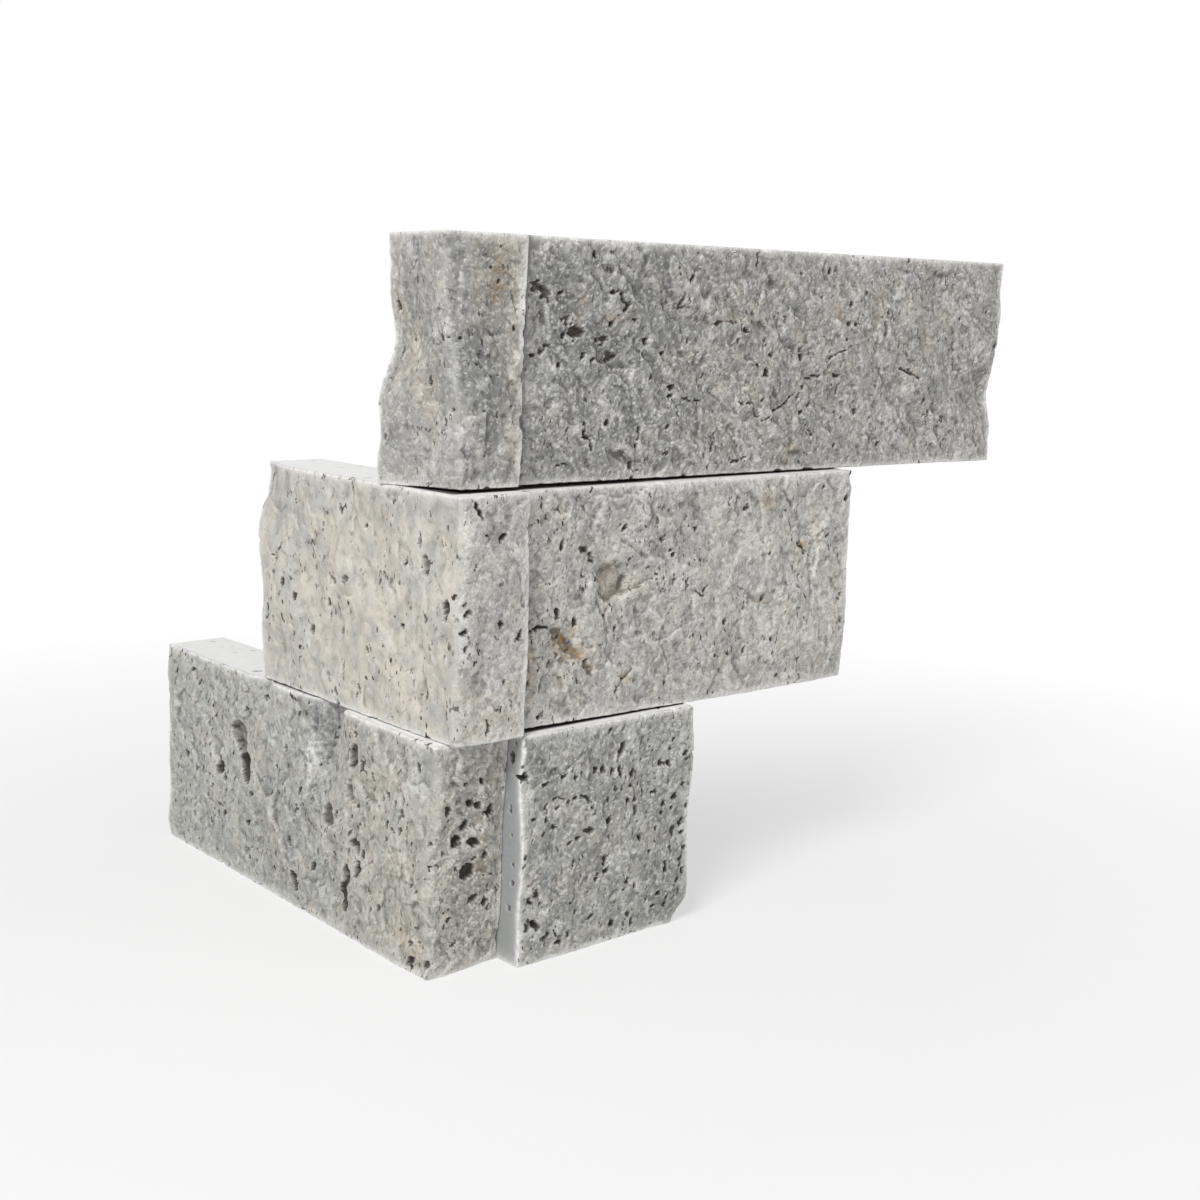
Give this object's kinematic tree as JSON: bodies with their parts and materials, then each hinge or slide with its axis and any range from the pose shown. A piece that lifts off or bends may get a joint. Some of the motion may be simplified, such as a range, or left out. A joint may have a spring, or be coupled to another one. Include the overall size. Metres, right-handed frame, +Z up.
{
  "type": "stacked stone corner",
  "caption": "Outside-corner cladding unit of split-face travertine strips, laid in stepped courses that interlock with panels on both walls; sawn flat on beds, backs and ends.",
  "frame": {"origin": "on the wall's own corner line, where the backs of the two legs meet, at the foot of the unit", "axes": "+X along the right leg, +Y along the left leg, +Z up; stone lies on the -X and -Y sides of the wall"},
  "size_m": [0.1764, 0.1257, 0.15],
  "materials": {
    "pitted_travertine": "split face with open pits, sawn beds",
    "cream_travertine": "split face, crystalline, sawn beds",
    "silver_travertine": "split face with thin cracks, sawn beds"
  },
  "bodies": {
    "root": {"lower_left_strip": "pitted_travertine", "lower_right_strip": "pitted_travertine", "middle_left_strip": "cream_travertine", "middle_right_strip": "cream_travertine", "upper_left_strip": "silver_travertine", "upper_right_strip": "silver_travertine"}
  },
  "joints": []
}
